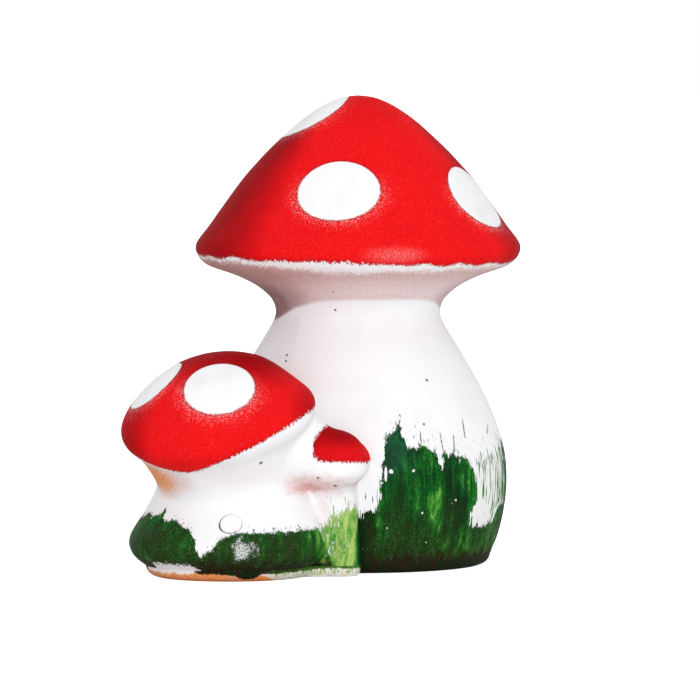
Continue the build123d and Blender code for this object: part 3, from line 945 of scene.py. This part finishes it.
def front_red(paint):
    """Red down to below the leaning cap's lip, deeper at its top, its left end and its right end by the bud,
    as painted shade.
    """
    axis = front_place().inverted()[2]
    height = paint.x * axis[0] + paint.y * axis[1] + paint.z * axis[2] + axis[3] / MM
    centre = front_place().translation / MM
    border = paint.levels(paint.bearing(centre) + 0.5, FRONT_BORDER, "B_SPLINE")
    deep = (paint.z.fade(66, 79) * 1.0).most(paint.x.fade(-70, -83) * 0.8).most(paint.x.fade(-27, -14) * 0.7)
    return height - border, thin_coat_and_shade(paint), deep, 0.0


def bud_red(paint):
    """Red on the bud's top, with a rounded end towards the front toadstool, deeper towards its top as
    painted shade.
    """
    low = paint.z - BUD_BORDER + (paint.x + 8) * 0.06
    aside, above = paint.x - BUD_CORNER[0], paint.z - BUD_CORNER[1]
    corner = aside * BUD_CORNER_WAY[0] + above * BUD_CORNER_WAY[1] + BUD_CORNER_REACH
    for side in (paint.x - BUD_END, corner):
        low = paint.node("ShaderNodeMath", {"operation": "SMOOTH_MIN"}, {0: low, 1: side, 2: BUD_ROUND})
    return low, thin_coat_and_shade(paint), 0.25 + paint.z.fade(44.5, 52) * 0.7, 0.0


def clay_paint(colours):
    """Bare fired clay, its edge brushed over in places."""
    paint = Paint("bare_clay_paint")
    grain = paint.noise((0.9, 0.9, 0.9), 4, 0.65)
    dust = paint.noise((0.16, 0.16, 0.16), 3, 0.6, 4)
    clay = paint.mix(colours.clay, colours.burnt_clay, grain.fade(0.42, 0.70) * 0.5)
    clay = paint.mix(clay, colours.thin_coat_and_shade, dust.fade(0.50, 0.66) * 0.45)
    around = paint.bearing(SLAB_CENTRE) + 0.5
    splash = paint.noise((0.30, 0.30, 0.12), 3, 0.6, 14)
    hair = paint.noise((1.4, 1.4, 0.2), 2, 0.6, 33)
    ragged = (splash - 0.5) * 2.4 + (hair - 0.5) * 2.2
    cream = paint.mix(colours.white, colours.clay, 0.08 + dust.fade(0.42, 0.66) * 0.16)
    fringe = paint.levels(around, SLAB_SUN) / 100
    fringed = fringe.fade(0.1, 0.4)
    cream = paint.mix(cream, colours.straw, hair.fade(0.42, 0.56) * paint.z.fade(0, 2.2) * fringed * 0.9)
    cream = paint.mix(cream, colours.olive, hair.fade(0.56, 0.62) * paint.z.fade(0.5, 3.0) * fringed * 0.8)
    above = paint.z - paint.levels(around, SLAB_CREAM) + ragged + 0.5
    colour = paint.mix(clay, cream, above.fade(-0.3, 0.3))
    cover = (paint.z - paint.levels(around, SLAB_DARK) + ragged * 0.6 + 0.6).fade(-0.25, 0.25)
    soil = paint.mix(colours.foot_brown, colours.black_green, splash.fade(0.40, 0.60))
    soil = paint.mix(soil, colours.light_green, fringe * (0.5 + (hair - 0.5) * 1.6).most(0))
    colour = paint.mix(colour, soil, cover)
    return paint.finish(colour, 0.78 - cover * 0.25, grain, CLAY_RELIEF, CLAY_GLOSS)


class TOADSTOOL_OT_large_stem(bpy.types.Operator):
    """Turn the tall toadstool's stem"""

    bl_idname = "toadstool.large_stem"
    bl_label = "Tall stem"

    def execute(self, context):
        sizes, colours = context.scene.toadstool_sizes, context.scene.toadstool_colours
        stem = turned("large_stem_form", LARGE_STEM[1:], sizes, LARGE_STEM[:1], [(0, LARGE_STEM[-1][1])])
        paint = stem_paint("large_stem_paint", colours, (0, 0), LARGE_GRASS, seam=True)
        finished(smooth(stem), "large_stem", paint)
        return {"FINISHED"}


class TOADSTOOL_OT_large_cap(bpy.types.Operator):
    """Turn the tall toadstool's cap"""

    bl_idname = "toadstool.large_cap"
    bl_label = "Tall cap"

    def execute(self, context):
        sizes, colours = context.scene.toadstool_sizes, context.scene.toadstool_colours
        cap = turned("large_cap_form", LARGE_CAP, sizes, [(0, LARGE_CAP[0][1])])
        paint = cap_paint("large_cap_paint", colours, large_red, LARGE_SPOTS, LARGE_SPOT_STRETCH, LIP_DUST_AND_SHEEN)
        finished(smooth(cap), "large_cap", paint)
        return {"FINISHED"}


def luted_skin(sizes):
    """The front toadstool, the bud and the tall stem joined under one sponged skin."""
    tall_foot = [(0, FOOT_START), (LARGE_STEM[1][0], FOOT_START)]
    tall = turned("tall_core", LARGE_STEM[1:], sizes, tall_foot, [(0, LARGE_STEM[-1][1])])
    rings = []
    for radius, height in FRONT_STEM:
        lean = FRONT_LEAN * max(0, height - FRONT_LEAN_FROM) / (FRONT_NECK - FRONT_LEAN_FROM)
        rings.append(((0, 0, height), radius, lean))
    stem = drawn_up("front_stem_core", rings[0], rings[1:])
    settle(stem, front_foot())
    cap = turned("front_cap_core", FRONT_CAP[1:], sizes, FRONT_CAP[:1])
    settle(cap, front_place())
    pressed = cap.vertex_groups.new(name="pressed")
    for vertex in cap.data.vertices:
        off = math.hypot(vertex.co.x / MM - SHOULDER[0], vertex.co.z / MM - SHOULDER[1])
        share = max(1 - off / SHOULDER_REACH, 0)
        pressed.add([vertex.index], soft(share), "REPLACE")
    applied(cap, "DISPLACE", strength=-SHOULDER_DEPTH * MM, mid_level=0, vertex_group="pressed")
    foot, neck = Vector(BUD_FOOT), Vector(BUD_NECK)
    rings = []
    for t in BUD_SHARES:
        radius = BUD_FOOT_RADIUS + (BUD_NECK_RADIUS - BUD_FOOT_RADIUS) * t
        rings.append((tuple(foot.lerp(neck, t)), radius, 0))
    bud_stem = drawn_up("bud_stem_core", rings[0], rings[1:], sides=48)
    bud_cap = turned("bud_cap_core", BUD_CAP[1:], sizes, BUD_CAP[:1])
    settle(bud_cap, bud_place())
    webs = []
    for centre, radii, lean in WEBS:
        web = fresh("slip_web", bpy.ops.mesh.primitive_uv_sphere_add, segments=48, ring_count=24, radius=MM)
        turn = Matrix.Translation(Vector(centre) * MM) @ Matrix.Rotation(lean, 4, "Y")
        webs.append(settle(web, turn @ Matrix.Diagonal(radii + (1,))))
    groups = [[tall], [stem, cap], [bud_stem, bud_cap], webs]
    trees = []
    deps = bpy.context.evaluated_depsgraph_get()
    for group in groups:
        trees.append([BVHTree.FromObject(obj, deps) for obj in group])
    skin = joined([tall, stem, cap, bud_stem, bud_cap, *webs])
    skin.name = "luted_skin"
    applied(skin, "REMESH", mode="VOXEL", voxel_size=sizes.skin_grain)
    slip = skin.vertex_groups.new(name="slip")
    reach = sizes.slip_reach
    to_cap = front_place().inverted()
    for vertex in skin.data.vertices:
        near = sorted(min(tree.find_nearest(vertex.co)[3] for tree in group) for group in trees)[1]
        lip = min(max(((to_cap @ vertex.co).z / MM - LIP_FROM) / LIP_OVER, 0), 1)
        if near < reach and lip < 1:
            slip.add([vertex.index], soft(1 - near / reach) * (1 - lip), "REPLACE")
    applied(skin, "SMOOTH", factor=SPONGE_PRESS, iterations=sizes.slip_rounds, vertex_group="slip")
    applied(skin, "SMOOTH", factor=SPONGE_PRESS, iterations=sizes.sponge_rounds)
    skin.vertex_groups.clear()
    return skin


class TOADSTOOL_OT_small_castings(bpy.types.Operator):
    """Model the front toadstool, the bud and the clay plug under one skin, then part them"""

    bl_idname = "toadstool.small_castings"
    bl_label = "Front toadstool, bud and plug"

    def execute(self, context):
        sizes, colours = context.scene.toadstool_sizes, context.scene.toadstool_colours
        skin = luted_skin(sizes)
        grown = [(0 if r == 0 else r + STEM_ROOM, z) for r, z in LARGE_STEM]
        low = [(0, CUTTER_LOW), (grown[1][0], CUTTER_LOW)]
        high = [(grown[-1][0], CUTTER_HIGH), (0, CUTTER_HIGH)]
        tall = turned("tall_cutter", grown[1:], sizes, low, high)
        cut(skin, tall)
        scrap(tall)
        under = half_space("slab_cut", (0, 0, SLAB_TOP * MM), (0, 0, -1))
        cut(skin, under)
        front, bud = front_place(), bud_place()
        neck_up = half_space("front_neck_cut", front.translation, front.col[2].to_3d())
        bud_up = half_space("bud_neck_cut", bud.translation, bud.col[2].to_3d())
        bud_side = half_space("bud_side_cut", Vector(BUD_SIDE_CUT[0]) * MM, BUD_SIDE_CUT[1])
        bud_foot = half_space("bud_foot_cut", Vector(BUD_FOOT_CUT[0]) * MM, BUD_FOOT_CUT[1])
        cut(bud_side, bud_foot, True)
        front_part = cut(copied(skin, "front_part"), bud_side)
        bud_part = cut(copied(skin, "bud_part"), bud_side, True)
        front_cap = cut(copied(front_part, "front_cap_skin"), neck_up, True)
        front_stem = cut(copied(front_part, "front_stem_skin"), neck_up)
        bud_cap = cut(copied(bud_part, "bud_cap_skin"), bud_up, True)
        bud_stem = cut(copied(bud_part, "bud_stem_skin"), bud_up)
        hole = rod("plug_hole", plug_place(), sizes.plug_radius + sizes.plug_gap, PLUG_DEPTH * MM)
        plug_axis = plug_place() @ Matrix.Translation(Vector(PLUG_SHIFT) * MM)
        core = rod("plug_core", plug_axis, sizes.plug_radius, PLUG_DEPTH * MM)
        plug = cut(copied(front_stem, "plug_skin"), core, True)
        cut(front_stem, hole)
        scrap(skin, under, neck_up, bud_up, bud_side, bud_foot, front_part, bud_part, hole, core)
        axis = front.translation / MM
        white = stem_paint("front_stem_paint", colours, axis, FRONT_GRASS)
        light = stem_paint("bud_stem_paint", colours, BUD_FOOT, BUD_GRASS)
        red = cap_paint("front_cap_paint", colours, front_red, FRONT_SPOTS)
        finished(smooth(trimmed(front_stem)), "front_stem", white)
        finished(smooth(trimmed(front_cap)), "front_cap", red)
        finished(smooth(trimmed(bud_stem)), "bud_stem", light)
        plain_red = cap_paint("bud_cap_paint", colours, bud_red, [])
        finished(smooth(trimmed(bud_cap)), "bud_cap", plain_red)
        finished(smooth(plug), "vent_plug", white)
        return {"FINISHED"}


class TOADSTOOL_OT_base_slab(bpy.types.Operator):
    """Model the clay slab under the three feet"""

    bl_idname = "toadstool.base_slab"
    bl_label = "Clay slab"

    def execute(self, context):
        sizes, colours = context.scene.toadstool_sizes, context.scene.toadstool_colours
        feet = [(Vector(), LARGE_STEM[1][0]), (front_foot().translation / MM, FRONT_STEM[1][0])]
        feet += [(Vector(BUD_FOOT), BUD_FOOT_RADIUS), (Vector(SLAB_CORNER[0]), SLAB_CORNER[1])]
        discs = []
        for place, radius in feet:
            share = 1 if radius > SMALL_FOOT else SMALL_EDGE
            section = [(radius - back * share, height) for back, height in SLAB_EDGE]
            disc = turned("slab_disc", section, sizes, [(0, SLAB_EDGE[0][1])], [(0, SLAB_EDGE[-1][1])])
            discs.append(settle(disc, Matrix.Translation((place.x * MM, place.y * MM, 0))))
        slab = joined(discs)
        applied(slab, "REMESH", mode="VOXEL", voxel_size=sizes.skin_grain * SLAB_GRAIN)
        applied(slab, "SMOOTH", factor=SPONGE_PRESS, iterations=sizes.sponge_rounds)
        ground = half_space("ground_cut", (0, 0, 0), (0, 0, -1))
        over = half_space("top_cut", (0, 0, SLAB_TOP * MM), (0, 0, 1))
        cut(slab, ground)
        cut(slab, over)
        scrap(ground, over)
        finished(smooth(slab), "base_slab", clay_paint(colours))
        return {"FINISHED"}


class TOADSTOOL_OT_stage(bpy.types.Operator):
    """Set the floor, the light and the camera"""

    bl_idname = "toadstool.stage"
    bl_label = "Floor, light and camera"

    def execute(self, context):
        scene, stage = context.scene, context.scene.toadstool_stage
        scene.view_settings.view_transform = "Standard"
        floor = fresh("floor", bpy.ops.mesh.primitive_plane_add, size=FLOOR_WIDTH)
        ground = bpy.data.materials.new("pale_floor")
        ground.use_nodes = True
        tree = ground.node_tree
        shader = tree.nodes["Principled BSDF"]
        shader.inputs["Base Color"].default_value = (*stage.floor_tone, 1)
        shader.inputs["Roughness"].default_value = 0.9
        shader.inputs["Specular IOR Level"].default_value = 0
        path = tree.nodes.new("ShaderNodeLightPath")
        tree.links.new(path.outputs["Is Camera Ray"], shader.inputs["Emission Strength"])
        shader.inputs["Emission Color"].default_value = (*stage.floor_glow, 1)
        floor.data.materials.append(ground)

        aim = Vector(stage.aim)
        back = Vector((0, -math.cos(stage.elevation), math.sin(stage.elevation)))
        bpy.ops.object.camera_add(location=aim + back * stage.distance)
        camera = bpy.context.object
        camera.rotation_mode = "QUATERNION"
        camera.rotation_quaternion = (-back).to_track_quat("-Z", "Y")
        camera.data.sensor_width = SENSOR_WIDTH
        camera.data.lens = stage.lens
        camera.data.clip_end = CAMERA_REACH
        scene.camera = camera

        bpy.ops.object.light_add(type="AREA", location=stage.key_place)
        key = bpy.context.object
        key.name = "front_softbox"
        key.data.shape = "DISK"
        key.data.size = stage.key_size
        key.data.energy = stage.key_power
        key.rotation_euler = (aim - key.location).to_track_quat("-Z", "Y").to_euler()

        world = bpy.data.worlds.new("white_room")
        scene.world = world
        world.use_nodes = True
        tree = world.node_tree
        sky = tree.nodes["Background"]
        sky.inputs["Color"].default_value = (1, 1, 1, 1)
        path = tree.nodes.new("ShaderNodeLightPath")
        seen = tree.nodes.new("ShaderNodeMath")
        seen.operation = "MAXIMUM"
        tree.links.new(path.outputs["Is Camera Ray"], seen.inputs[0])
        tree.links.new(path.outputs["Is Glossy Ray"], seen.inputs[1])
        strength = tree.nodes.new("ShaderNodeMapRange")
        tree.links.new(seen.outputs[0], strength.inputs[0])
        strength.inputs[3].default_value = stage.sky
        strength.inputs[4].default_value = 1.0
        tree.links.new(strength.outputs[0], sky.inputs["Strength"])
        return {"FINISHED"}


class TOADSTOOL_PT_sidebar(bpy.types.Panel):
    """Lists the steps in their order"""

    bl_idname = "TOADSTOOL_PT_sidebar"
    bl_label = "Painted toadstool group"
    bl_space_type = "VIEW_3D"
    bl_region_type = "UI"
    bl_category = "Toadstools"

    def draw(self, context):
        for operator in OPERATORS:
            self.layout.operator(operator.bl_idname)
        for group in GROUPS:
            box = self.layout.box()
            settings = getattr(context.scene, group)
            for key in settings.__annotations__:
                box.prop(settings, key)


GROUPS = {
    "toadstool_sizes": ToadstoolSizes,
    "toadstool_colours": ToadstoolColours,
    "toadstool_stage": ToadstoolStage,
}
OPERATORS = (
    TOADSTOOL_OT_large_stem,
    TOADSTOOL_OT_large_cap,
    TOADSTOOL_OT_small_castings,
    TOADSTOOL_OT_base_slab,
    TOADSTOOL_OT_stage,
)


def register():
    for name, group in GROUPS.items():
        bpy.utils.register_class(group)
        setattr(bpy.types.Scene, name, PointerProperty(type=group))
    for operator in OPERATORS:
        bpy.utils.register_class(operator)
    bpy.utils.register_class(TOADSTOOL_PT_sidebar)


def unregister():
    bpy.utils.unregister_class(TOADSTOOL_PT_sidebar)
    for operator in reversed(OPERATORS):
        bpy.utils.unregister_class(operator)
    for name, group in GROUPS.items():
        delattr(bpy.types.Scene, name)
        bpy.utils.unregister_class(group)


def main():
    register()
    bpy.ops.toadstool.large_stem()
    bpy.ops.toadstool.large_cap()
    bpy.ops.toadstool.small_castings()
    bpy.ops.toadstool.base_slab()
    bpy.ops.toadstool.stage()


if __name__ == "__main__":
    main()
